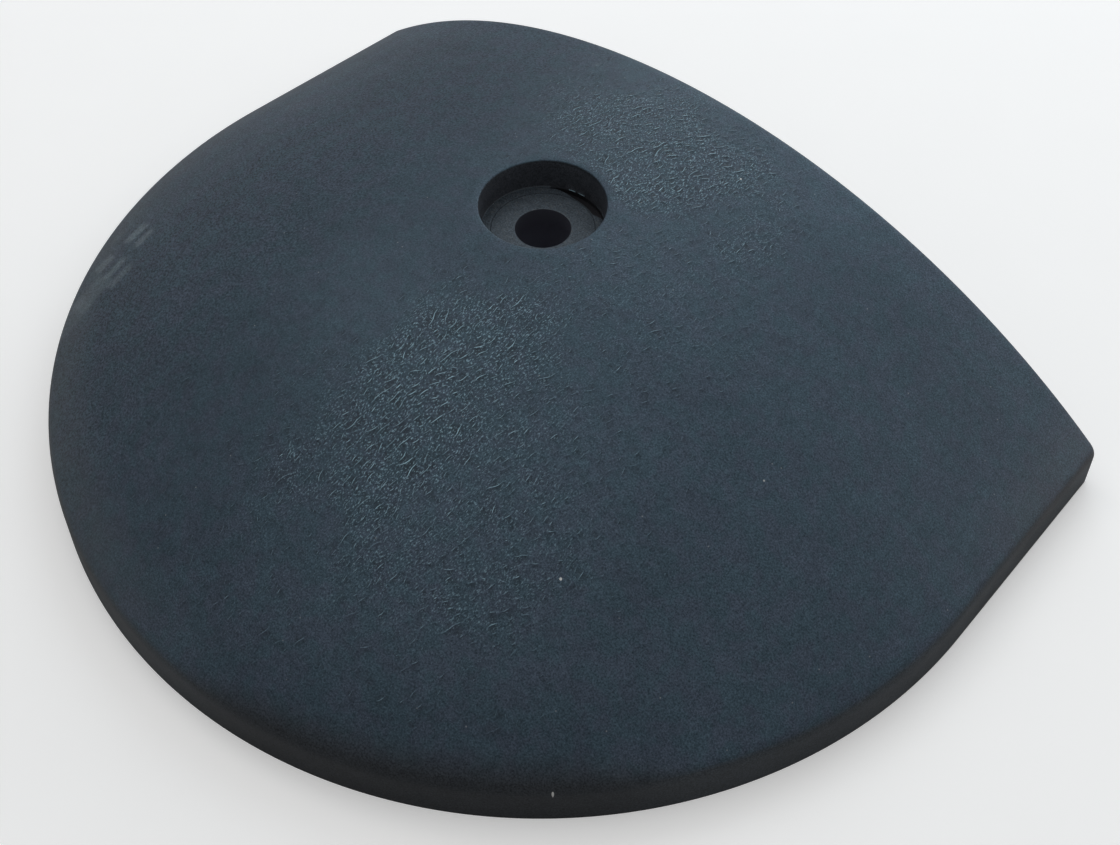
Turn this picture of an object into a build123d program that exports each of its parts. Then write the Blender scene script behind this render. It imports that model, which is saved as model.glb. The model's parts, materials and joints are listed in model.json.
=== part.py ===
"""End cap of a rubber speed bump: a half-round rubber moulding with one recessed anchor-bolt hole.

The cap closes the end of a straight run of bump sections. Its cross-section is the low circular arch
of the bump. The arch runs straight for a short length behind the bolt, and is turned about the bolt's
axis to make the round nose, so the top of the nose is part of a sphere.

Frame: the origin is on the bolt hole's axis at road level, +Z is up, +X is across the bump, and +Y
points to the bump section that the cap butts against. All sizes are in millimetres.
"""

import os

from build123d import *

# Outside shape
WIDTH = 300.0
STRAIGHT_LENGTH = 70.0
HEIGHT = 60.0
RIM_HEIGHT = 13.0  # where the wall and the arch would meet, before they are rounded into each other
RIM_LEAN = 1.5  # how far the wall leans in over its height, so that the cap leaves its mould
RIM_ROUND = 6.0
EDGE_ROUND = 1.0  # the edges of the butting face, except at the foot, where the mould parts

# Recess and hole for a 12 mm or half-inch anchor bolt
BOLT_HOLE_RADIUS = 8.0
RECESS_RADIUS = 18.0
RECESS_DEPTH = 10.0
RECESS_EDGE_ROUND = 0.5

# Steel washer moulded into the recess floor, to take the load of the bolt's head.
# The mould's core pin locates it, so a thin film of rubber lines its bore.
WASHER_RADIUS = 15.0
WASHER_BORE_RADIUS = 8.5
WASHER_THICKNESS = 3.0
WASHER_EDGE = 0.25

# Underside: pockets between ribs, so that the rubber is near one thickness and cures evenly
ROOF_THICKNESS = 16.0
WALL_THICKNESS = 18.0
RIB_THICKNESS = 12.0
BOSS_RADIUS = 34.0
MIDDLE_RIB_RADIUS = 86.0
INNER_POCKETS = 4  # in the nose, between the boss and the middle rib
OUTER_POCKETS = 6  # in the nose, between the middle rib and the wall
POCKET_CORNER = 4.0
POCKET_CEILING_ROUND = 2.0

os.makedirs("parts", exist_ok=True)

half_width = WIDTH / 2
shoulder_half_width = half_width - RIM_LEAN
arch_rise = HEIGHT - RIM_HEIGHT
arch_radius = (shoulder_half_width**2 + arch_rise**2) / (2 * arch_rise)
recess_floor = HEIGHT - RECESS_DEPTH

# The pockets' ceiling follows the arch, one roof thickness below it
ceiling_radius = arch_radius - ROOF_THICKNESS
ceiling_top = HEIGHT - ROOF_THICKNESS
pocket_half_width = half_width - WALL_THICKNESS
ceiling_edge = ceiling_top - ceiling_radius + (ceiling_radius**2 - pocket_half_width**2) ** 0.5
pocket_length = STRAIGHT_LENGTH - WALL_THICKNESS


def is_ceiling_of_straight(face):
    """True for the straight pockets' ceilings: the cylinders as wide as the arch under the roof."""
    return face.geom_type == GeomType.CYLINDER and abs(face.radius - ceiling_radius) < 0.001


def is_recess_wall(face):
    """True for the recess's wall."""
    return face.geom_type == GeomType.CYLINDER and abs(face.radius - RECESS_RADIUS) < 0.001


# All the pockets in one: the space under the roof, less the boss and the ribs that stand in it
with BuildPart() as pockets:
    with BuildSketch(Plane.XZ) as half_space:
        with BuildLine():
            Polyline((0, ceiling_top), (0, 0), (-pocket_half_width, 0), (-pocket_half_width, ceiling_edge))
            RadiusArc((-pocket_half_width, ceiling_edge), (0, ceiling_top), ceiling_radius)
        make_face()
    revolve(axis=Axis.Z, revolution_arc=180)
    with BuildSketch(Plane.XZ) as whole_space:
        add(half_space.sketch_local)
        mirror(about=Plane.YZ)
    extrude(amount=-pocket_length)

    with BuildSketch() as ribs:
        Circle(BOSS_RADIUS)
        Rectangle(WIDTH, RIB_THICKNESS)
        with Locations((0, pocket_length / 2)):
            Rectangle(RIB_THICKNESS, pocket_length)
        # The middle rib runs round the nose and on to the butting wall
        with BuildLine():
            Line((-MIDDLE_RIB_RADIUS, pocket_length), (-MIDDLE_RIB_RADIUS, 0))
            ThreePointArc((-MIDDLE_RIB_RADIUS, 0), (0, -MIDDLE_RIB_RADIUS), (MIDDLE_RIB_RADIUS, 0))
            Line((MIDDLE_RIB_RADIUS, 0), (MIDDLE_RIB_RADIUS, pocket_length))
            offset(amount=RIB_THICKNESS / 2)
        make_face()
        for index in range(1, INNER_POCKETS):
            with Locations(Location((0, 0), -180 * index / INNER_POCKETS)):
                Rectangle(MIDDLE_RIB_RADIUS, RIB_THICKNESS, align=(Align.MIN, Align.CENTER))
        for index in range(1, OUTER_POCKETS):
            with Locations(Location((0, 0), -180 * index / OUTER_POCKETS)):
                with Locations((MIDDLE_RIB_RADIUS, 0)):
                    Rectangle(half_width, RIB_THICKNESS, align=(Align.MIN, Align.CENTER))
    extrude(amount=HEIGHT, mode=Mode.SUBTRACT)

    fillet(pockets.edges().filter_by(Axis.Z), POCKET_CORNER)
    ceilings = pockets.faces().filter_by(GeomType.SPHERE) + pockets.faces().filter_by(is_ceiling_of_straight)
    fillet(ceilings.edges(), POCKET_CEILING_ROUND)


with BuildPart() as rubber_body:
    with BuildSketch(Plane.XZ) as half_arch:
        with BuildLine():
            shoulder = (-shoulder_half_width, RIM_HEIGHT)
            Polyline((0, HEIGHT), (0, 0), (-half_width, 0), shoulder)
            RadiusArc(shoulder, (0, HEIGHT), arch_radius)
        make_face()
        fillet(half_arch.vertices().group_by(Axis.X)[1], RIM_ROUND)
    revolve(axis=Axis.Z, revolution_arc=180)
    with BuildSketch(Plane.XZ) as whole_arch:
        add(half_arch.sketch_local)
        mirror(about=Plane.YZ)
    extrude(amount=-STRAIGHT_LENGTH)

    butting_face = rubber_body.faces().sort_by(Axis.Y)[-1]
    fillet(butting_face.edges().sort_by(Axis.Z)[1:], EDGE_ROUND)

    add(pockets.part, mode=Mode.SUBTRACT)
    with Locations((0, 0, HEIGHT)):
        CounterBoreHole(BOLT_HOLE_RADIUS, RECESS_RADIUS, RECESS_DEPTH)
    recess_wall = rubber_body.faces().filter_by(is_recess_wall)
    fillet(recess_wall.edges().group_by(Axis.Z)[-1], RECESS_EDGE_ROUND)

    # The washer's seat is a ring-shaped groove in the recess floor
    with BuildSketch(Plane.XY.offset(recess_floor - WASHER_THICKNESS)):
        Circle(WASHER_RADIUS)
        Circle(WASHER_BORE_RADIUS, mode=Mode.SUBTRACT)
    extrude(amount=WASHER_THICKNESS, mode=Mode.SUBTRACT)

rubber_body.part.label = "rubber_body"
export_step(rubber_body.part, "parts/rubber_body.step")


with BuildPart() as bolt_washer:
    with BuildSketch(Plane.XY.offset(recess_floor - WASHER_THICKNESS)):
        Circle(WASHER_RADIUS)
        Circle(WASHER_BORE_RADIUS, mode=Mode.SUBTRACT)
    extrude(amount=WASHER_THICKNESS)
    fillet(bolt_washer.faces().sort_by(Axis.Z)[-1].outer_wire().edges(), WASHER_EDGE)
bolt_washer.part.label = "bolt_washer"
export_step(bolt_washer.part, "parts/bolt_washer.step")
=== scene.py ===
"""Looks of the speed bump end cap: a rubber moulding, with a steel washer in the floor of its recess."""

import json
import math

import bmesh
import bpy
import numpy as np
from mathutils import Matrix, Vector
from mathutils.geometry import delaunay_2d_cdt
from mathutils.kdtree import KDTree


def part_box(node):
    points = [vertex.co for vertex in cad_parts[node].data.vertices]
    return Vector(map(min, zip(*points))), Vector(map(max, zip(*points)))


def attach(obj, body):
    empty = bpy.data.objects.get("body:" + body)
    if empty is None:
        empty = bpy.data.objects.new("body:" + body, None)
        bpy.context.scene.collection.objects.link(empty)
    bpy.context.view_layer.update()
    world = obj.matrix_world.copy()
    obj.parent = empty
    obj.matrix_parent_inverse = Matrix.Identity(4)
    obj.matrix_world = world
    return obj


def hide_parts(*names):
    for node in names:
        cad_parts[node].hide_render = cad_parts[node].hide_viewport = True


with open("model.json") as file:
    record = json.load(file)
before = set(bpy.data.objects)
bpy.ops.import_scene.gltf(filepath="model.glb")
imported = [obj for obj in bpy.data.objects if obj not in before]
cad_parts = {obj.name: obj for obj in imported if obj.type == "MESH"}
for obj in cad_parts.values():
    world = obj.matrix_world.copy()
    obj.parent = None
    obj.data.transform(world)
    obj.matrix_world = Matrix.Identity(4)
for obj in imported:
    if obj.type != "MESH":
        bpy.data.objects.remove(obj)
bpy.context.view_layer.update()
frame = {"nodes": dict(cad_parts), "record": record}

MM = 0.001  # the meshes are worked out in millimetres, and stored in metres

# The cap's own sizes, from the frame
half_width, back, height = (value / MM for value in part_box("rubber_body")[1])
washer_low, washer_high = (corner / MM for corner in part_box("bolt_washer"))
mounts = {mount["name"]: mount["dims"] for mount in frame["record"]["mounts"]}
hole_radius = mounts["anchor_hole"]["r_mm"]
recess_radius = mounts["head_recess"]["r_mm"]
washer_points = [vertex.co / MM for vertex in frame["nodes"]["bolt_washer"].data.vertices]
washer_bore = min(math.hypot(point.x, point.y) for point in washer_points)
washer_radius = washer_high.x
floor_height = washer_high.z
seat_height = washer_low.z

# The moulding's details
RIM_HEIGHT = 13.0  # where the wall and the arch would meet
RIM_LEAN = 1.5  # how far the wall leans in over its height
RIM_ROUND = 6.0
EDGE_ROUND = 1.0  # of the butting edge
RECESS_EDGE = 0.5  # rounding of the recess's mouth
HOLE_EDGE = 0.12  # chamfer of the bolt hole
ROOF_THICKNESS = 16.0
POCKET_INSET = 17.0  # every pocket is further than this from the foot's outline
POCKET_CLEAR = 30.0  # and further than this from the bolt's axis
SPACING = 2.2  # between the points of the outer skin
RING_POINTS = 200  # round the recess

# Fine wrinkles in the skin: short wavy ridges that run about along Y, with a shallow valley on each side
WRINKLE_HEIGHT = 0.10
WRINKLE_VALLEY = 0.35  # depth, as a share of the height
WRINKLE_FOOT = 0.19  # half of a ridge's width
WRINKLE_STEP = 0.42  # between the points along a ridge
WRINKLE_LONGEST = 12
WRINKLE_REACH = 140  # how far out they may lie
WRINKLE_TRIES = 110000  # few of them are kept
# Where the skin is wrinkled: centre x, y, half lengths in x, y, and the share of the skin
WRINKLED = (
    (21, -65, 22, 41, 0.95),
    (43, -78, 42, 44, 0.42),
    (26, -96, 48, 38, 0.24),
    (8, 39, 40, 27, 0.8),
    (40, -6, 36, 40, 0.26),
)

# A void in the recess's floor beside the washer, with a broken line of flash above it
VOID_DEPTH = 1.6
VOID_WIDTH = 2.8
VOID_START = math.radians(54)
VOID_WIDE = (math.radians(67), math.radians(93))  # it has its full width between these
VOID_END = math.radians(128)
FLASH_END = math.radians(116)
FLASH = 0.22  # how far it stands out from the wall

arch_rise = height - RIM_HEIGHT
arch_radius = ((half_width - RIM_LEAN) ** 2 + arch_rise**2) / (2 * arch_rise)
arch_centre = height - arch_radius


def arch_height(x, y):
    """The top surface: an arch along the straight part, turned into a sphere round the nose."""
    return arch_centre + np.sqrt(arch_radius**2 - x**2 - np.minimum(y, 0) ** 2)


def ease(value, low, high):
    """0 at low, 1 at high, and smooth between."""
    share = np.clip((value - low) / (high - low), 0, 1)
    return share * share * (3 - 2 * share)


def ripple(x, y, size, seed, waves=12):
    """A smooth, aimless field between about -1 and 1, whose features have the given size."""
    random = np.random.default_rng(seed)
    total = 0
    for _ in range(waves):
        turn, phase = random.uniform(0, 2 * math.pi, 2)
        pace = math.pi / size * random.uniform(0.6, 1.4)
        total = total + np.cos(pace * (x * math.cos(turn) + y * math.sin(turn)) + phase)
    return total / math.sqrt(waves)


def rim_profile():
    """(half width, height) from the foot up the wall and over its rounding, to where the arch begins."""
    foot = np.array([half_width, 0.0])
    wall = np.array([-RIM_LEAN, RIM_HEIGHT]) / math.hypot(RIM_LEAN, RIM_HEIGHT)
    inward = np.array([-wall[1], wall[0]])
    start = foot + RIM_ROUND * inward - np.array([0, arch_centre])
    # The rounding's centre is RIM_ROUND inside both the wall and the arch
    b = start @ wall
    c = start @ start - (arch_radius - RIM_ROUND) ** 2
    centre = start - (b - math.sqrt(b * b - c)) * wall
    turn_start = math.atan2(-inward[1], -inward[0])
    turn_end = math.atan2(centre[1], centre[0])
    centre = centre + np.array([0, arch_centre])
    turns = np.linspace(turn_start, turn_end, 8)
    rounding = centre + RIM_ROUND * np.stack([np.cos(turns), np.sin(turns)], axis=1)
    steps = np.linspace(0, 1, 6, endpoint=False)[:, None]
    return np.concatenate([foot + steps * (rounding[0] - foot), rounding])


class Skin:
    """A mesh that grows patch by patch. For each point it also keeps how much of a crest it is."""

    def __init__(self):
        self.points = np.zeros((0, 3))
        self.crests = np.zeros(0)
        self.faces = []

    def add(self, points, crests=0):
        """Adds points, and returns their numbers."""
        first = len(self.points)
        self.points = np.concatenate([self.points, points])
        self.crests = np.concatenate([self.crests, np.broadcast_to(crests, len(points))])
        return np.arange(first, len(self.points))

    def strip(self, one, other, closed=False):
        """Quads between two rows of the same length."""
        if closed:
            one = np.append(one, one[0])
            other = np.append(other, other[0])
        self.faces.extend(np.stack([one[:-1], one[1:], other[1:], other[:-1]], axis=1).tolist())

    def fill(self, loops, inner, axes, hole_reach=0):
        """Triangles between the loops, through the inner points, in the plane of the two axes.

        Triangles within hole_reach of the bolt's axis are left out.
        """
        numbers = np.concatenate([*loops, inner])
        flat = [Vector(point) for point in self.points[numbers][:, axes]]
        edges = []
        first = 0
        for loop in loops:
            size = len(loop)
            edges.extend((first + k, first + (k + 1) % size) for k in range(size))
            first += size
        result = delaunay_2d_cdt(flat, edges, [], 1, 1e-6)
        numbers = numbers[[origin[0] for origin in result[3]]]
        triangles = numbers[np.array(result[2])]
        middles = self.points[triangles].mean(axis=1)
        triangles = triangles[np.hypot(middles[:, 0], middles[:, 1]) >= hole_reach]
        self.faces.extend(triangles.tolist())


def lattice(x_low, x_high, y_low, y_high, spacing):
    """Points on an even triangular grid."""
    rows = np.arange(y_low, y_high, spacing * math.sqrt(3) / 2)
    columns = np.arange(x_low, x_high, spacing)
    x = columns[None, :] + (np.arange(len(rows)) % 2)[:, None] * spacing / 2
    y = np.repeat(rows[:, None], len(columns), axis=1)
    return np.stack([x.ravel(), y.ravel()], axis=1)


def outline(half, z):
    """The plan outline at one height: along one side, round the nose and back along the other side."""
    straight = back - EDGE_ROUND
    sides = np.linspace(straight, 0, round(straight / SPACING), endpoint=False)
    turns = np.linspace(math.pi, 2 * math.pi, round(math.pi * half_width / SPACING) + 1)
    x = np.concatenate([np.full(len(sides), -half), half * np.cos(turns), np.full(len(sides), half)])
    y = np.concatenate([sides, half * np.sin(turns), sides[::-1]])
    return np.stack([x, y, np.full(len(x), z)], axis=1)


def wrinkled_share(x, y):
    """How much of the skin is wrinkled: patches with ragged edges, made of clusters."""
    share = 0
    for centre_x, centre_y, half_x, half_y, most in WRINKLED:
        reach = np.hypot((x - centre_x) / half_x, (y - centre_y) / half_y)
        reach = reach + 0.16 * ripple(x, y, 17, seed=3)
        share = np.maximum(share, most * ease(reach, 1.5, 0.3))
    clusters = ease(ripple(x, y, 5.5, seed=5), -1.2, 0.8)
    return share * (0.7 + 0.3 * clusters)


def wrinkle_lines():
    """The wrinkles, long ones first: for each, the plan points along its crest, and their strengths."""
    random = np.random.default_rng(11)
    cell = WRINKLE_STEP
    taken = np.zeros((round(2 * half_width / cell), round(2 * half_width / cell)), bool)
    starts = random.uniform((-60, -138), (95, back - 4), (WRINKLE_TRIES, 2))
    shares = wrinkled_share(starts[:, 0], starts[:, 1])
    longs = np.arange(WRINKLE_TRIES) < WRINKLE_TRIES / 3
    chosen = random.random(WRINKLE_TRIES) < shares
    lines = []
    for start, share, is_long in zip(starts[chosen], shares[chosen], longs[chosen]):
        length = (1.4 + 2.3 * share if is_long else 0.9) * math.exp(random.normal(0, 0.45))
        steps = np.arange(max(2, round(min(length, WRINKLE_LONGEST) / WRINKLE_STEP)))
        strength = (0.4 + 0.6 * share) * random.uniform(0.55, 1) * random.uniform(0.8, 1, len(steps))
        waves = 0.24 * np.sin(random.uniform(0, 2 * math.pi) + random.uniform(0.3, 0.8) * steps)
        local_turn = 0.22 * ripple(*start, 26, seed=9) - 0.12  # neighbours run much the same way
        turns = math.pi / 2 + local_turn + random.normal(0, 0.22) + waves
        moves = WRINKLE_STEP * np.stack([np.cos(turns), np.sin(turns)], axis=1)
        line = start + np.cumsum(moves, axis=0) - moves.sum(axis=0) / 2
        cells = np.floor((line + half_width) / cell).astype(int)
        clear_of_recess = np.hypot(line[:, 0], line[:, 1]).min() > recess_radius + 2
        reach = np.hypot(line[:, 0], np.minimum(line[:, 1], 0)).max()
        inside = line[:, 1].max() < back - 3 and reach < WRINKLE_REACH
        if taken[cells[:, 0], cells[:, 1]].any() or not clear_of_recess or not inside:
            continue
        room = 2 if is_long else 1  # cells kept free on each side
        for x in range(-room, room + 1):
            for y in (-1, 0, 1):
                taken[cells[:, 0] + x, cells[:, 1] + y] = True
        lines.append((line, strength if is_long else 0.7 * strength))
    return lines


def wrinkle_points():
    """Plan points along the wrinkles, and how high each is: 1 on the highest crest, below 0 in a valley."""
    points = []
    crests = []
    for line, strength in wrinkle_lines():
        along = np.gradient(line, axis=0)
        along /= np.linalg.norm(along, axis=1)[:, None]
        across = np.stack([-along[:, 1], along[:, 0]], axis=1)
        taper = strength * (1 - 0.45 * np.linspace(-1, 1, len(line)) ** 2)
        ends = np.stack([line[0] - WRINKLE_FOOT * along[0], line[-1] + WRINKLE_FOOT * along[-1]])
        points.extend([line, line + WRINKLE_FOOT * across, line - WRINKLE_FOOT * across, ends])
        crests.extend([taper, -WRINKLE_VALLEY * taper, -WRINKLE_VALLEY * taper, np.zeros(2)])
    return np.concatenate(points), np.concatenate(crests)


def apart(points, others, reach):
    """Which of the plan points are at least reach away from the others."""
    tree = KDTree(len(others))
    for k, (x, y) in enumerate(others):
        tree.insert((x, y, 0), k)
    tree.balance()
    return np.array([tree.find((x, y, 0))[2] > reach for x, y in points])


def cover_top(skin, top_row, ring):
    """The arch's top, round the recess's mouth. Returns its back row and the mouth's row."""
    arch_half = skin.points[top_row][:, 0].max()
    straight = back - EDGE_ROUND
    across = np.linspace(arch_half, -arch_half, round(2 * arch_half / SPACING))[1:-1]
    along = np.full(len(across), straight)
    back_row = skin.add(np.stack([across, along, arch_height(across, straight)], axis=1))
    mouth = (recess_radius + RECESS_EDGE) * ring
    mouth_row = skin.add(np.column_stack([mouth, arch_height(mouth[:, 0], mouth[:, 1])]))

    ridges, crests = wrinkle_points()
    plain = lattice(-arch_half, arch_half, -arch_half, back, SPACING)
    reach = np.where(plain[:, 1] < 0, np.hypot(plain[:, 0], plain[:, 1]), np.abs(plain[:, 0]))
    margin = 0.6 * SPACING
    kept = (reach < arch_half - margin) & (plain[:, 1] < straight - margin)
    kept &= np.hypot(plain[:, 0], plain[:, 1]) > recess_radius + RECESS_EDGE + margin
    plain = plain[kept]
    plain = plain[apart(plain, ridges, 0.45 * SPACING)]
    inner = np.concatenate([ridges, plain])
    crests = np.concatenate([crests, np.zeros(len(plain))])
    lift = arch_height(inner[:, 0], inner[:, 1]) + WRINKLE_HEIGHT * crests
    inner = skin.add(np.column_stack([inner, lift]), crests)
    hole_reach = recess_radius + RECESS_EDGE
    skin.fill([np.concatenate([top_row, back_row]), mouth_row], inner, [0, 1], hole_reach)
    return back_row, mouth_row


def sink_recess(skin, mouth_row, ring, turns):
    """The recess's wall and floor, the washer's seat and the bolt hole, down to the road."""
    mouth_height = skin.points[mouth_row][:, 2]
    in_void = ease(turns, VOID_START - 0.06, VOID_START + 0.06) * ease(turns, VOID_END, VOID_END - 0.1)
    widening = np.minimum(ease(turns, VOID_START, VOID_WIDE[0]), ease(turns, VOID_END, VOID_WIDE[1]))
    void_edge = recess_radius - 0.6 - (VOID_WIDTH - 0.6) * widening
    uneven = np.sin(9 * turns + 4.4) + 0.8 * np.sin(31 * turns + 1) + 0.5 * np.sin(67 * turns)
    flash = ease(uneven, -0.5, 0.8) * (0.6 + 0.4 * ease(turns, VOID_WIDE[1] - 0.15, VOID_WIDE[1]))
    flash = flash * in_void * ease(turns, FLASH_END, FLASH_END - 0.1)

    profile = []  # radius, height and crest
    for turn in np.linspace(0, math.pi / 2, 4)[1:]:
        rounded = RECESS_EDGE * (1 - math.cos(turn))
        profile.append((recess_radius + RECESS_EDGE * (1 - math.sin(turn)), mouth_height - rounded, 0))
    wall_top = mouth_height - RECESS_EDGE
    wall_foot = floor_height + 0.45  # above the flash
    for share in np.linspace(0, 1, 7)[1:]:
        profile.append((recess_radius, (1 - share) * wall_top + share * wall_foot, 0))
    deepest = floor_height - VOID_DEPTH * in_void
    # The flash's upper and lower edge, and the corner under it. Outside the void it is a small fillet
    for inset, step, rise, crest in ((1, 0, 0.2, 0.6), (1, 0.08, 0.05, 0), (0, 0.2, -0.15, 0)):
        radius = recess_radius - FLASH * inset * flash - step * (1 - in_void)
        profile.append((radius, np.maximum(floor_height + rise, deepest), crest * flash))
    profile.append((recess_radius - 0.25 * (1 - in_void), deepest, 0))
    profile.append((void_edge + 0.25, deepest, 0))
    profile.append((void_edge, floor_height, 0))
    for share in (0.5, 1):
        profile.append(((1 - share) * void_edge + share * washer_radius, floor_height, 0))
    profile.append((washer_radius, seat_height, 0))
    profile.append((washer_bore, seat_height, 0))
    profile.append((washer_bore, floor_height, 0))
    profile.append((hole_radius + HOLE_EDGE, floor_height, 0))
    for share in np.linspace(0, 1, 10):
        profile.append((hole_radius, (1 - share) * (floor_height - HOLE_EDGE), 0))
    row = mouth_row
    for radius, z, crest in profile:
        across = np.broadcast_to(radius, len(ring))[:, None] * ring
        next_row = skin.add(np.column_stack([across, np.broadcast_to(z, len(ring))]), crest)
        skin.strip(row, next_row, closed=True)
        row = next_row


def close_back(skin, rows, back_row):
    """The butting edge, from one foot over the arch to the other, and the butting face inside it."""
    section = np.concatenate([[line[-1] for line in rows], back_row, [line[0] for line in rows[::-1]]])
    section_points = skin.points[section]
    along = np.gradient(section_points[:, [0, 2]], axis=0)
    outward = np.stack([along[:, 1], -along[:, 0]], axis=1) / np.linalg.norm(along, axis=1)[:, None]
    outward[[0, -1]] = [[1, 0], [-1, 0]]
    row = section
    for turn in np.linspace(0, math.pi / 2, 4)[1:]:
        points = section_points.copy()
        points[:, [0, 2]] -= EDGE_ROUND * (1 - math.cos(turn)) * outward
        points[:, 1] += EDGE_ROUND * math.sin(turn)
        next_row = skin.add(points)
        skin.strip(row, next_row)
        row = next_row
    face_half = skin.points[row][0, 0]
    spacing = 2 * SPACING
    foot = np.linspace(-face_half, face_half, round(2 * face_half / spacing))[1:-1]
    foot_row = skin.add(np.stack([foot, np.full(len(foot), back), np.zeros(len(foot))], axis=1))
    inner = lattice(-face_half, face_half, 0, height, spacing)
    margin = 0.6 * spacing
    kept = (inner[:, 1] > margin) & (np.abs(inner[:, 0]) < face_half - RIM_LEAN - margin)
    kept &= inner[:, 1] < arch_height(inner[:, 0], back) - EDGE_ROUND - 1.5 * margin
    inner = inner[kept]
    inner = skin.add(np.stack([inner[:, 0], np.full(len(inner), back), inner[:, 1]], axis=1))
    skin.fill([np.concatenate([row, foot_row])], inner, [0, 2])


def pocket_faces():
    """The pockets under the roof, as points and faces taken from the CAD body's own mesh."""
    body = bmesh.new()
    body.from_mesh(frame["nodes"]["rubber_body"].data)
    bmesh.ops.remove_doubles(body, verts=body.verts, dist=1e-7)
    points = np.array([vertex.co for vertex in body.verts]) / MM
    from_middle = np.hypot(points[:, 0], points[:, 1])
    reach = np.where(points[:, 1] < 0, from_middle, np.abs(points[:, 0]))
    roof_radius = arch_radius - ROOF_THICKNESS
    roof = arch_centre + np.sqrt(roof_radius**2 - np.minimum(reach, half_width) ** 2)
    inside = (points[:, 2] < roof + 0.2) & (reach < half_width - POCKET_INSET)
    inside &= (from_middle > POCKET_CLEAR) & (points[:, 1] < back - POCKET_INSET)

    def is_pocket(face):
        on_road = face.normal.z < -0.999 and all(vertex.co.z < 1e-6 for vertex in face.verts)
        return not on_road and all(inside[vertex.index] for vertex in face.verts)

    others = [face for face in body.faces if not is_pocket(face)]
    bmesh.ops.delete(body, geom=others, context="FACES")
    return body


def build_rubber():
    """The cap's outer skin and its pockets, joined along the road by a flat foot."""
    turns = np.linspace(0, 2 * math.pi, RING_POINTS, endpoint=False)
    ring = np.stack([np.cos(turns), np.sin(turns)], axis=1)
    skin = Skin()
    rows = [skin.add(outline(half, z)) for half, z in rim_profile()]
    for one, other in zip(rows, rows[1:]):
        skin.strip(one, other)
    back_row, mouth_row = cover_top(skin, rows[-1], ring)
    sink_recess(skin, mouth_row, ring, turns)
    close_back(skin, rows, back_row)

    body = pocket_faces()
    crest_layer = body.verts.layers.float.new("crest")
    own = []
    for point, crest in zip(skin.points, skin.crests):
        vertex = body.verts.new(point * MM)
        vertex[crest_layer] = crest
        own.append(vertex)
    for face in skin.faces:
        body.faces.new([own[k] for k in face])
    loose = [vertex for vertex in body.verts if not vertex.link_faces]
    bmesh.ops.delete(body, geom=loose, context="VERTS")
    road_edges = [edge for edge in body.edges if edge.is_boundary]
    bmesh.ops.triangle_fill(body, use_beauty=True, edges=road_edges, normal=(0, 0, -1))
    bmesh.ops.recalc_face_normals(body, faces=body.faces)
    bmesh.ops.triangulate(body, faces=body.faces)
    mesh = bpy.data.meshes.new("rubber_cap")
    body.to_mesh(mesh)
    body.free()
    points = np.array([vertex.co for vertex in mesh.vertices]) / MM
    wrinkled = wrinkled_share(points[:, 0], points[:, 1])
    wrinkled[np.hypot(points[:, 0], points[:, 1]) < recess_radius + RECESS_EDGE + 0.1] = 0
    mesh.attributes.new("wrinkled", "FLOAT", "POINT").data.foreach_set("value", wrinkled)
    mesh.attributes.remove(mesh.attributes["custom_normal"])
    mesh.update()
    mesh.shade_smooth()
    mesh.set_sharp_from_angle(angle=math.radians(75))
    rubber = bpy.data.objects.new("rubber_cap", mesh)
    bpy.context.scene.collection.objects.link(rubber)
    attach(rubber, "root")
    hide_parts("rubber_body")
    return rubber


rubber = build_rubber()


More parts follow.
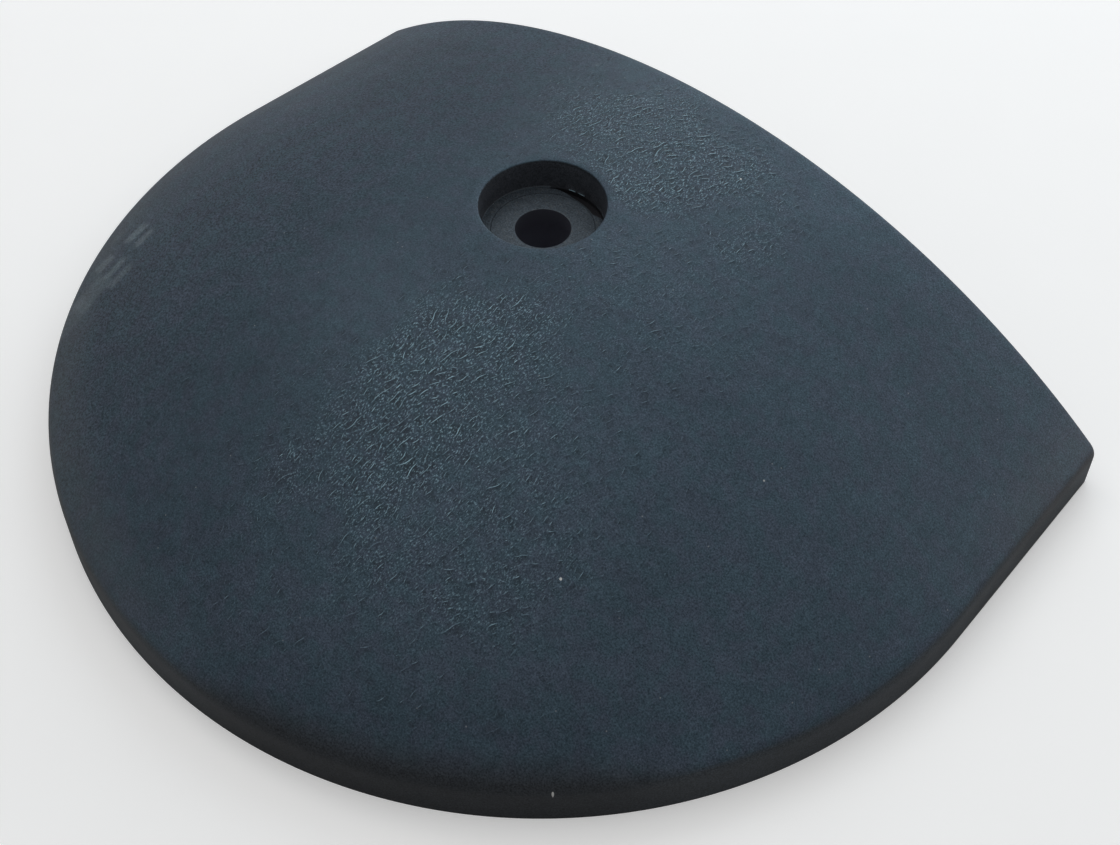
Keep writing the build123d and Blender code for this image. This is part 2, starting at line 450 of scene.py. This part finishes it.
class Graph:
    """Short calls for building a shader out of nodes."""

    def __init__(self, tree):
        self.tree = tree

    def node(self, kind, inputs, **settings):
        made = self.tree.nodes.new("ShaderNode" + kind)
        for name, value in settings.items():
            setattr(made, name, value)
        for key, value in inputs.items():
            if isinstance(value, bpy.types.NodeSocket):
                self.tree.links.new(value, made.inputs[key])
            else:
                made.inputs[key].default_value = value
        return made

    def math(self, operation, *values):
        return self.node("Math", dict(enumerate(values)), operation=operation).outputs[0]

    def vector(self, operation, *values):
        made = self.node("VectorMath", dict(enumerate(values)), operation=operation)
        return made.outputs["Value" if operation in ("LENGTH", "DOT_PRODUCT") else "Vector"]

    def times(self, *values):
        """The product of any number of values."""
        total = values[0]
        for value in values[1:]:
            total = self.math("MULTIPLY", total, value)
        return total

    def most(self, *values):
        """The largest of any number of values."""
        total = values[0]
        for value in values[1:]:
            total = self.math("MAXIMUM", total, value)
        return total

    def noise(self, place, size, detail=2.0, rough=0.5):
        inputs = {"Vector": place, "Scale": 1 / size, "Detail": detail, "Roughness": rough}
        return self.node("TexNoise", inputs).outputs[0]

    def vary(self, place, size, spread, detail=2.0, rough=0.5):
        """A factor about 1 that wanders by the spread to either side."""
        noise = self.noise(place, size, detail, rough)
        return self.math("MULTIPLY_ADD", noise, 4 * spread, 1 - 2 * spread)

    def cells(self, place, size, feature="F1"):
        return self.node("TexVoronoi", {"Vector": place, "Scale": 1 / size}, feature=feature).outputs

    def ease(self, value, low, high):
        """0 at low, 1 at high, and smooth between. Low may be above high."""
        inputs = {"Value": value, "From Min": low, "From Max": high}
        return self.node("MapRange", inputs, interpolation_type="SMOOTHSTEP").outputs[0]

    def blend(self, factor, one, other):
        """A colour that goes from one to other as the factor goes from 0 to 1."""
        one, other = ((*colour, 1) if isinstance(colour, tuple) else colour for colour in (one, other))
        return self.node("Mix", {0: factor, 6: one, 7: other}, data_type="RGBA").outputs[2]

    def scale(self, colour, factor):
        return self.node("VectorMath", {0: colour, "Scale": factor}, operation="SCALE").outputs[0]

    def bump(self, height, depth, normal=None):
        """A normal bent by a height of 0 to 1 that stands for a depth in millimetres."""
        inputs = {"Height": height, "Distance": depth * MM, "Strength": 1.0}
        if normal is not None:
            inputs["Normal"] = normal
        return self.node("Bump", inputs).outputs[0]

    def attribute(self, name):
        return self.node("Attribute", {}, attribute_name=name).outputs["Fac"]

    def split(self, vector):
        return self.node("SeparateXYZ", {"Vector": vector}).outputs

    def upward(self):
        """How far faces point up: 1 on a level top, 0 on a wall and -1 underneath."""
        return self.split(self.node("NewGeometry", {}).outputs["True Normal"])[2]


def new_material(name):
    """A material, its graph and its surface node, and a position in millimetres in the cap's frame."""
    material = bpy.data.materials.new(name)
    material.use_nodes = True
    graph = Graph(material.node_tree)
    coordinates = graph.node("TexCoord", {}).outputs["Object"]
    place = graph.vector("MULTIPLY", coordinates, (1 / MM,) * 3)
    return material, graph, material.node_tree.nodes["Principled BSDF"], place


# Linear colours, and the tints of their reflections
SHEEN_TEAL = (0.040, 0.061, 0.080)  # the painted blue-grey sheen on the top, a painted reflection, wanders between two hues
SHEEN_VIOLET = (0.046, 0.057, 0.080)
SHEEN_TINT = (0.51, 0.80, 1.0)
SHADED_BARE = (0.022, 0.024, 0.028)  # bare rubber with painted shade, for the front of the rim and the pits between wrinkles
RIM = (0.035, 0.041, 0.048)  # the rest of the rim, the butting face and the underside
BARE_TINT = (0.74, 0.84, 0.92)
DUST = (0.115, 0.118, 0.118)
BROWN_DUST = (0.170, 0.118, 0.100)
RECESS_WALL = (0.054, 0.058, 0.068)
RECESS_FLOOR = (0.046, 0.058, 0.071)
RECESS_TINT = (0.70, 0.84, 0.96)
VOID_SHADE = (0.022, 0.022, 0.026)
SHADE_TINT = (0.4, 0.4, 0.4)
HOLE_WALL = (0.108, 0.112, 0.145)
PAINTED_GLINT = (0.54, 0.82, 0.96)  # painted glints on the crests of the wrinkles
RUBBED = (0.47, 0.58, 0.60)  # scuffs
GRIT = (0.38, 0.39, 0.39)
PALE_GRIT = (0.65, 0.65, 0.63)

# Rubs along Y, all but one by the left edge: middle x, y, length, width, strength
SCUFFS = (
    (-112, -70, 9.5, 6.0, 1.0),
    (-105, -71, 8.5, 5.0, 0.9),
    (-121, -72.5, 7.0, 4.6, 0.35),
    (-112.5, -83, 8.0, 6.0, 0.9),
    (-104, -83.4, 10.5, 4.8, 0.9),
    (-97.5, -85, 10.5, 5.0, 0.7),
    (-104, -93, 14, 11, 0.45),
    (-103, -102, 15, 12, 0.3),
    (-34, 60, 3, 2.5, 0.8),
)

# Lone grains of pale grit: x, y, radius
GRAINS = ((104.4, -105.6, 0.35), (77, -74, 0.4), (32.9, 47.6, 0.35))


def scuffs(graph, place):
    """Short soft rubs, 0 to 1."""
    wobble = graph.node("TexNoise", {"Vector": place, "Scale": 0.4, "Detail": 3.0}).outputs["Color"]
    place = graph.vector("SUBTRACT", place, (0.8, 1.5, 0))
    place = graph.vector("MULTIPLY_ADD", wobble, (1.6, 3.0, 0), place)
    total = 0.0
    for x, y, length, width, strength in SCUFFS:
        offset = graph.vector("ABSOLUTE", graph.vector("SUBTRACT", place, (x, y, 0)))
        across, along, _ = graph.split(offset)
        ends = graph.ease(along, length / 2 + 0.7, length / 2 - 2.2)
        sides = graph.ease(across, width / 2 + 0.4, width / 2 - 1.8)
        total = graph.math("ADD", total, graph.times(ends, sides, strength))
    return graph.math("MULTIPLY", total, graph.ease(graph.noise(place, 0.9, 3, 0.7), 0.2, 0.6))


def specks(graph, place, size, share, radius):
    """Sparse round specks, at most one in each cell of the given size."""
    found = graph.cells(place, size)
    chosen = graph.math("GREATER_THAN", graph.split(found["Color"])[0], 1 - share)
    spot = graph.ease(found["Distance"], radius / size, 0.6 * radius / size)
    return graph.math("MULTIPLY", chosen, spot)


def grains(graph, place):
    """The few lone grains of pale grit that stand out."""
    total = 0.0
    for x, y, radius in GRAINS:
        flat = graph.vector("MULTIPLY", graph.vector("SUBTRACT", place, (x, y, 0)), (1, 1, 0))
        distance = graph.vector("LENGTH", flat)
        total = graph.math("ADD", total, graph.ease(distance, radius, 0.6 * radius))
    return total


def level_share(graph):
    """1 on the faces that are about level, and 0 on the others."""
    return graph.ease(graph.upward(), 0.6, 0.9)


def upright_share(graph):
    """1 on walls and underneath, and 0 on the top."""
    return graph.ease(graph.upward(), 0.70, 0.40)


def floor_colour(graph, place):
    """The dull, dusty rubber and steel of the recess's floor."""
    speckled = graph.ease(graph.noise(place, 0.8, 4, 0.7), 0.50, 0.72)
    shade = graph.times(graph.vary(place, 2.0, 0.25, 4), graph.vary(place, 0.5, 0.7))
    dull = graph.scale(RECESS_FLOOR, shade)
    return graph.blend(graph.math("MULTIPLY", speckled, 0.6), dull, DUST)


def sheen_grain(graph, place):
    """The painted sheen's grain, about 1: fine on the right, coarser to the left, and strongest by the left
    edge.
    """
    x = graph.split(place)[0]
    fine = graph.vary(place, 0.45, 0.57, 2, 0.6)
    coarse = graph.vary(place, 0.65, 0.83, 2, 0.7)
    to_left = graph.ease(x, 10, -70)
    grain = graph.math("MULTIPLY_ADD", graph.math("SUBTRACT", coarse, fine), to_left, fine)
    stronger = graph.math("MULTIPLY_ADD", graph.ease(x, -65, -95), 0.45, 1)
    grain = graph.math("MULTIPLY_ADD", graph.math("SUBTRACT", grain, 1), stronger, 1)
    return graph.most(grain, 0.1)


def sheen_shading(graph, place, in_front):
    """A painted light-and-shade factor for the sheen, about 1: darker along the crown and by the front edge,
    lighter at the right front, the left edge and the back shoulders.
    """
    x, y, z = graph.split(place)
    from_crown = graph.math("ABSOLUTE", graph.math("ADD", x, 8))
    # Painted shade along the crown and by the front edge
    crown_shade = graph.times(graph.ease(from_crown, 75, 20), graph.ease(y, -120, -70), 0.08)
    front_shade = graph.times(in_front, graph.ease(z, 29, 18), 0.18)
    darkened = graph.math("ADD", crown_shade, front_shade)
    # Painted light at the right front, by the left edge and on the back shoulders
    right_front = graph.times(graph.ease(y, -50, -110), graph.ease(x, 0, 50), 0.11)
    left_edge = graph.times(graph.ease(x, -85, -115), graph.ease(y, -110, -50), 0.10)
    shoulders = graph.times(graph.ease(from_crown, 35, 75), graph.ease(y, 46, 62), 0.12)
    lightened = graph.math("ADD", graph.math("ADD", right_front, left_edge), shoulders)
    return graph.math("ADD", graph.math("SUBTRACT", lightened, darkened), 1)


def where_bare(graph, place, in_front, by_tip):
    """1 where there is no painted sheen: on the rim, up to a height that varies, and on upright faces."""
    sheen_starts = graph.math("MULTIPLY_ADD", in_front, 3.0, 14.6)
    sheen_starts = graph.math("MULTIPLY_ADD", by_tip, -2.5, sheen_starts)
    soft_front = graph.math("MULTIPLY", in_front, -1.5)
    z = graph.split(place)[2]
    low_down = graph.ease(graph.math("SUBTRACT", sheen_starts, z), soft_front, 4.6)
    return graph.most(low_down, upright_share(graph))


def dust_edges(graph, place, by_tip, colour):
    """Dust along the edge above the rim, on the left and by the right tip."""
    x, _, z = graph.split(place)
    sides = graph.math("ADD", graph.ease(x, 40, -50), graph.math("MULTIPLY", by_tip, 0.45))
    dust = graph.times(sides, graph.ease(z, 25, 15), graph.ease(z, 8, 13))
    dust = graph.times(dust, graph.vary(place, 9, 0.3, 3), 0.27)
    return graph.blend(dust, colour, graph.blend(by_tip, DUST, BROWN_DUST))


def paint_recess(graph, place, mottle, colour, tint):
    """Inside the recess: a dull wall and floor, painted shade in the void beside the washer, and a hole wall
    painted lighter with depth.
    """
    z = graph.split(place)[2]
    from_axis = graph.vector("LENGTH", graph.vector("MULTIPLY", place, (1, 1, 0)))
    above_seat = graph.ease(z, seat_height - 1, seat_height)
    within = graph.times(graph.ease(from_axis, recess_radius + 0.2, recess_radius - 0.02), above_seat)
    below_top = graph.times(within, graph.ease(z, height - 0.8, height - 1.2))
    wall = graph.scale(RECESS_WALL, graph.times(mottle, graph.vary(place, 1.3, 0.25, 3, 0.6)))
    colour = graph.blend(below_top, colour, wall)
    tint = graph.blend(below_top, tint, RECESS_TINT)
    on_floor = graph.times(below_top, level_share(graph))
    colour = graph.blend(on_floor, colour, floor_colour(graph, place))
    # The void below the floor is painted dark, with dulled reflections: painted shade
    in_void = graph.times(within, graph.ease(z, floor_height - 0.1, floor_height - 0.4))
    colour = graph.blend(in_void, colour, VOID_SHADE)
    tint = graph.blend(in_void, tint, SHADE_TINT)
    # The hole's wall is painted darker at its mouth and lighter deeper down: painted light and shade
    in_hole = graph.ease(from_axis, hole_radius + 0.3, hole_radius + 0.1)
    in_hole = graph.times(in_hole, upright_share(graph))
    deep = graph.ease(z, floor_height + 0.5, floor_height - 16.5)
    light = graph.math("MULTIPLY_ADD", deep, 1.1, 0.42)
    colour = graph.blend(in_hole, colour, graph.scale(HOLE_WALL, light))
    tint = graph.blend(in_hole, tint, graph.scale(SHADE_TINT, light))
    return colour, tint


def wrinkle_glints_and_shade(graph, place, crest, wrinkled):
    """Painted glints on the wrinkles' crests and on flecks between them, and painted shade in the pits and
    valleys.
    """
    stretched = graph.vector("MULTIPLY", place, (1 / 0.30, 1 / 0.7, 1 / 0.4))
    noise = graph.noise(stretched, 1, 1.0)
    share = graph.ease(wrinkled, 0.0, 0.7)
    # Painted glints: bright flecks and light crests
    glint_flecks = graph.times(graph.ease(noise, 0.56, 0.74), share, 0.38)
    crest_glints = graph.most(graph.times(graph.ease(crest, 0.2, 0.7), graph.vary(place, 3, 0.35)), glint_flecks)
    # Painted shade: dark pits, and the valleys beside the crests
    pit_shade = graph.times(graph.ease(noise, 0.46, 0.32), share, 0.72)
    pit_shade = graph.most(pit_shade, graph.math("MULTIPLY", graph.ease(crest, 0, -0.25), 0.7))
    return crest_glints, pit_shade


def add_marks(graph, place, colour):
    """Scuffs on the top, and specks of grit."""
    upward = graph.upward()
    rubs = graph.times(scuffs(graph, place), graph.ease(upward, 0.1, 0.5), 0.18)
    colour = graph.blend(rubs, colour, RUBBED)
    large = specks(graph, place, 6, 0.02, 0.34)
    small = graph.math("MULTIPLY", specks(graph, place, 2.2, 0.05, 0.24), 0.4)
    grit = graph.times(graph.most(large, small), level_share(graph))
    colour = graph.blend(grit, colour, GRIT)
    pale = graph.times(grains(graph, place), graph.ease(upward, -0.6, -0.3))
    return graph.blend(pale, colour, PALE_GRIT)


def fine_relief(graph, place, crest, wrinkled):
    """The grain that is finer than the mesh, as a normal."""
    relief = graph.bump(graph.noise(place, 0.5, 3, 0.6), 0.035)
    pebbled = graph.math("MULTIPLY_ADD", wrinkled, 0.9, 0.1)
    relief = graph.bump(graph.times(graph.cells(place, 0.9)["Distance"], pebbled), 0.05, relief)
    return graph.bump(crest, 0.05, relief)


def rubber_material():
    """Black rubber with a painted blue-grey sheen on its top, wrinkled in patches with painted glints and
    shade, scuffed and a little dusty.
    """
    material, graph, surface, place = new_material("black_rubber")
    x, y, _ = graph.split(place)
    crest = graph.attribute("crest")
    wrinkled = graph.times(graph.attribute("wrinkled"), graph.ease(graph.upward(), 0.5, 0.7))
    outward = graph.vector("NORMALIZE", graph.vector("MULTIPLY", place, (1, 1, 0)))
    in_front = graph.ease(graph.vector("DOT_PRODUCT", outward, (0.53, -0.848, 0)), 0.88, 0.98)
    by_tip = graph.math("MULTIPLY", graph.ease(x, 100, 140), graph.ease(y, -10, 50))

    # The painted blue-grey sheen, a painted reflection, over bare rubber
    grain = sheen_grain(graph, place)
    mottle = graph.times(grain, graph.vary(place, 2.5, 0.12), graph.vary(place, 8, 0.12, 3, 0.6))
    mottle = graph.times(mottle, graph.vary(place, 45, 0.07))
    painted_shading = sheen_shading(graph, place, in_front)
    hue = graph.ease(graph.noise(place, 6, 3, 0.6), 0.38, 0.62)
    sheen = graph.blend(hue, SHEEN_TEAL, SHEEN_VIOLET)
    bare = where_bare(graph, place, in_front, by_tip)
    # Bare rubber on the rim, painted darker at its front: painted shade
    colour = graph.blend(bare, sheen, graph.blend(in_front, RIM, SHADED_BARE))
    # The colour is scaled by the painted light and shade
    colour = graph.scale(colour, graph.math("MULTIPLY", mottle, painted_shading))
    tint = graph.blend(bare, SHEEN_TINT, BARE_TINT)

    # What lies on it or has worn it, painted shade in the recess, and the wrinkles' painted glints and shade
    colour = dust_edges(graph, place, by_tip, colour)
    colour, tint = paint_recess(graph, place, mottle, colour, tint)
    crest_glints, pit_shade = wrinkle_glints_and_shade(graph, place, crest, wrinkled)
    # Painted shade in the wrinkles' pits and valleys
    colour = graph.blend(pit_shade, colour, SHADED_BARE)
    # Painted glints on the wrinkles' crests
    colour = graph.blend(crest_glints, colour, PAINTED_GLINT)
    colour = add_marks(graph, place, colour)

    # Reflections follow the sheen's grain and painted shading, are darkened in the shaded pits, and are
    # sharper on the glinting crests
    patchy = graph.times(graph.math("MULTIPLY_ADD", grain, 0.7, 0.3), painted_shading)
    reflection_shade = graph.math("MULTIPLY_ADD", pit_shade, -0.6, 1)
    tint = graph.scale(tint, graph.math("MULTIPLY", patchy, reflection_shade))
    roughness = graph.math("MULTIPLY_ADD", graph.noise(place, 12, 3), 0.12, 0.39)
    roughness = graph.math("SUBTRACT", roughness, graph.math("MULTIPLY", crest_glints, 0.10))

    graph.tree.links.new(colour, surface.inputs["Base Color"])
    graph.tree.links.new(tint, surface.inputs["Specular Tint"])
    graph.tree.links.new(roughness, surface.inputs["Roughness"])
    relief = fine_relief(graph, place, crest, wrinkled)
    graph.tree.links.new(relief, surface.inputs["Normal"])
    return material


def washer_material():
    """Steel under a film of the same dust as the floor around it."""
    material, graph, surface, place = new_material("washer_steel")
    graph.tree.links.new(floor_colour(graph, place), surface.inputs["Base Color"])
    surface.inputs["Specular Tint"].default_value = (*RECESS_TINT, 1)
    surface.inputs["Roughness"].default_value = 0.5
    flat_normal = graph.node("NewGeometry", {}).outputs["True Normal"]
    grain = graph.bump(graph.noise(place, 0.7, 3), 0.04, flat_normal)
    graph.tree.links.new(grain, surface.inputs["Normal"])
    return material


rubber.data.materials.append(rubber_material())
washer = frame["nodes"]["bolt_washer"]
washer.data.materials.clear()
washer.data.materials.append(washer_material())


def direction(azimuth, elevation):
    """The direction from the cap, with azimuth 0 in front of the nose, and 90 to the right."""
    azimuth, elevation = math.radians(azimuth), math.radians(elevation)
    level = math.cos(elevation)
    return Vector((math.sin(azimuth) * level, -math.cos(azimuth) * level, math.sin(elevation)))


def place_camera():
    """A camera close above the cap, to the right of its nose, with the whole cap in its frame."""
    backward = direction(43.68, 50.38)
    target = Vector((14.34, -9.47, 0)) * MM
    distance = 363.24 * MM
    roll = Matrix.Rotation(math.radians(-0.18), 3, backward)
    right = roll @ (-backward).cross(Vector((0, 0, 1))).normalized()
    up = backward.cross(right)
    data = bpy.data.cameras.new("camera")
    data.sensor_width = 36
    data.lens = 37.8
    data.shift_x = 0.0027
    data.shift_y = -0.0335
    camera = bpy.data.objects.new("camera", data)
    turned = Matrix((right, up, backward)).transposed().to_4x4()
    camera.matrix_world = Matrix.Translation(target + distance * backward) @ turned
    bpy.context.scene.collection.objects.link(camera)
    bpy.context.scene.camera = camera


# The lamps' aim and distance, in metres
LAMP_TARGET = Vector((0, -0.04, 0.02))
LAMP_DISTANCE = 1.3


def soft_light(name, azimuth, elevation, power, size=1.3, colour=(1, 1, 1)):
    """A round lamp that faces the cap."""
    data = bpy.data.lights.new(name, "AREA")
    data.shape = "DISK"
    data.size = size
    data.energy = power
    data.color = colour
    away = direction(azimuth, elevation)
    light = bpy.data.objects.new(name, data)
    turned = away.to_track_quat("Z", "Y").to_matrix().to_4x4()
    light.matrix_world = Matrix.Translation(LAMP_TARGET + LAMP_DISTANCE * away) @ turned
    bpy.context.scene.collection.objects.link(light)


def make_floor():
    """A plain pale floor. Only the camera sees it pale: it throws back less light, as a grey road does."""
    reach = 40.0
    corners = [(-reach, -reach, 0), (reach, -reach, 0), (reach, reach, 0), (-reach, reach, 0)]
    mesh = bpy.data.meshes.new("floor")
    mesh.from_pydata(corners, [], [(0, 1, 2, 3)])
    floor = bpy.data.objects.new("floor", mesh)
    bpy.context.scene.collection.objects.link(floor)
    material, graph, surface, place = new_material("floor")
    seen = graph.node("LightPath", {}).outputs["Is Camera Ray"]
    pale = graph.scale((0.93, 0.93, 0.925), graph.vary(place, 25, 0.006, 3))
    colour = graph.blend(seen, (0.42, 0.42, 0.42), pale)
    graph.tree.links.new(colour, surface.inputs["Base Color"])
    surface.inputs["Roughness"].default_value = 0.9
    surface.inputs["Specular IOR Level"].default_value = 0.1
    surface.inputs["Emission Color"].default_value = (1, 1, 1, 1)
    graph.tree.links.new(graph.math("MULTIPLY", seen, 0.24), surface.inputs["Emission Strength"])
    floor.data.materials.append(material)


place_camera()
soft_light("back_light", 198, 28, 5.2, colour=(0.90, 1.0, 1.08))
soft_light("top_light", 270, 74, 4.0)
soft_light("low_back_light", 150, 6, 3.1)
soft_light("side_light", 120, 52, 1.0)
soft_light("glint_light", 262, 50, 0.8, size=0.4)
make_floor()

world = bpy.data.worlds.new("world")
world.use_nodes = True
world.node_tree.nodes["Background"].inputs["Color"].default_value = (0.27, 0.27, 0.27, 1)
bpy.context.scene.world = world
bpy.context.scene.view_settings.view_transform = "Standard"
